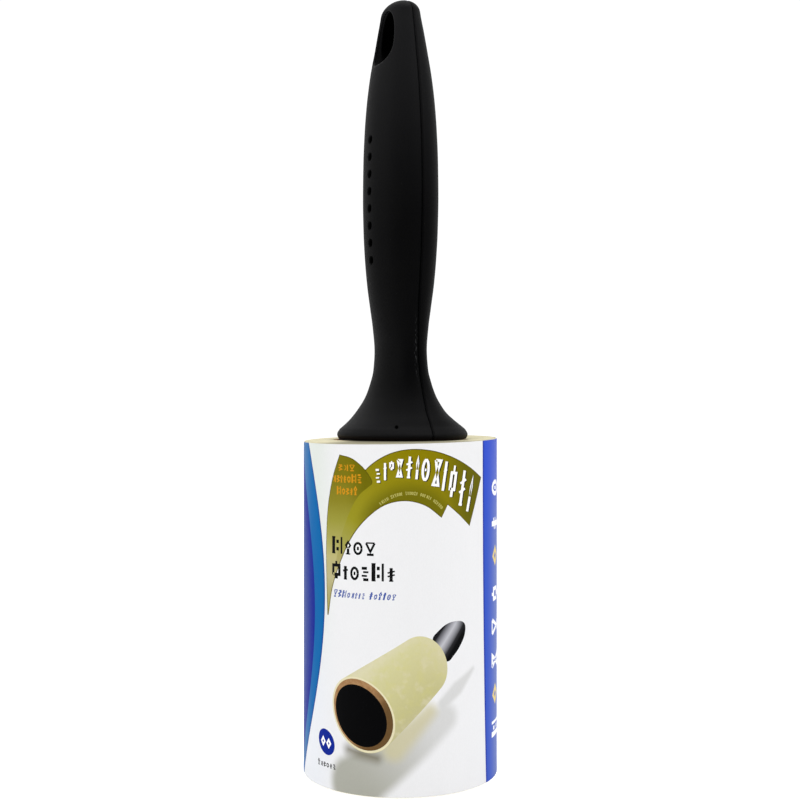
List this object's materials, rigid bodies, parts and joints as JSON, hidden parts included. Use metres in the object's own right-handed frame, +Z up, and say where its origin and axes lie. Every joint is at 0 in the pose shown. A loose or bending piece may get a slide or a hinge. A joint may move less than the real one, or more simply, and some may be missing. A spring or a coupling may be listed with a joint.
{
  "type": "lint roller",
  "caption": "Hand-held lint roller: contoured black grip with a flared skirt and oval hanging hole, spinning hub, and a slide-off roll of adhesive tape in a printed paper wrap.",
  "frame": {"origin": "centre of the refill's free end face, which the object stands on", "axes": "+Z up along the roller's axis towards the grip, -Y out of the grip's dimpled face, +X along the grip's wide side, in its parting plane"},
  "size_m": [0.0596, 0.0596, 0.237],
  "materials": {
    "grip": "satin moulded black with a fine texture",
    "spindle": "satin moulded dark grey",
    "hub": "satin moulded black",
    "bearing": "natural unpigmented, smooth",
    "spring_steel": "bright spring steel",
    "cardboard": "plain brown, spiral wound, dull",
    "tape": "cream adhesive-coated paper, slightly glossy face, wound edge on the ends",
    "wrap": "coated white paper, printed, semi-gloss"
  },
  "bodies": {
    "refill": {"cardboard_core": "cardboard", "tape_roll": "tape", "outer_tape_sheet": "tape", "label_wrap": "wrap"},
    "hub": {"hub_barrel": "hub", "hub_end_cap": "hub", "upper_bearing": "bearing", "lower_bearing": "bearing"},
    "finger_1": {"grip_finger_1": "hub"},
    "finger_2": {"grip_finger_2": "hub"},
    "finger_3": {"grip_finger_3": "hub"},
    "finger_4": {"grip_finger_4": "hub"},
    "handle": {"handle_front_shell": "grip", "handle_rear_shell": "grip", "spindle": "spindle", "spindle_retaining_ring": "spring_steel"}
  },
  "joints": [
    {"name": "refill_release", "type": "slide", "parent": "refill", "child": "hub", "axis": [0, 0, 1], "range_m": [0, 0.105]},
    {"name": "roller_spin", "type": "hinge", "parent": "hub", "child": "handle", "pos_m": [0, 0, 0.1], "axis": [0, 0, 1], "continuous": true},
    {"name": "finger_1_flex", "type": "hinge", "parent": "hub", "child": "finger_1", "pos_m": [0.01478, 0.00612, 0.0465], "axis": [-0.3827, 0.9239, 0], "range_deg": [0, 4]},
    {"name": "finger_2_flex", "type": "hinge", "parent": "hub", "child": "finger_2", "pos_m": [-0.00612, 0.01478, 0.0465], "axis": [-0.9239, -0.3827, 0], "range_deg": [0, 4]},
    {"name": "finger_3_flex", "type": "hinge", "parent": "hub", "child": "finger_3", "pos_m": [-0.01478, -0.00612, 0.0465], "axis": [0.3827, -0.9239, 0], "range_deg": [0, 4]},
    {"name": "finger_4_flex", "type": "hinge", "parent": "hub", "child": "finger_4", "pos_m": [0.00612, -0.01478, 0.0465], "axis": [0.9239, 0.3827, 0], "range_deg": [0, 4]}
  ],
  "couplings": [
    {"joint": "finger_2_flex", "follows": "finger_1_flex", "ratio": 1},
    {"joint": "finger_3_flex", "follows": "finger_1_flex", "ratio": 1},
    {"joint": "finger_4_flex", "follows": "finger_1_flex", "ratio": 1}
  ]
}
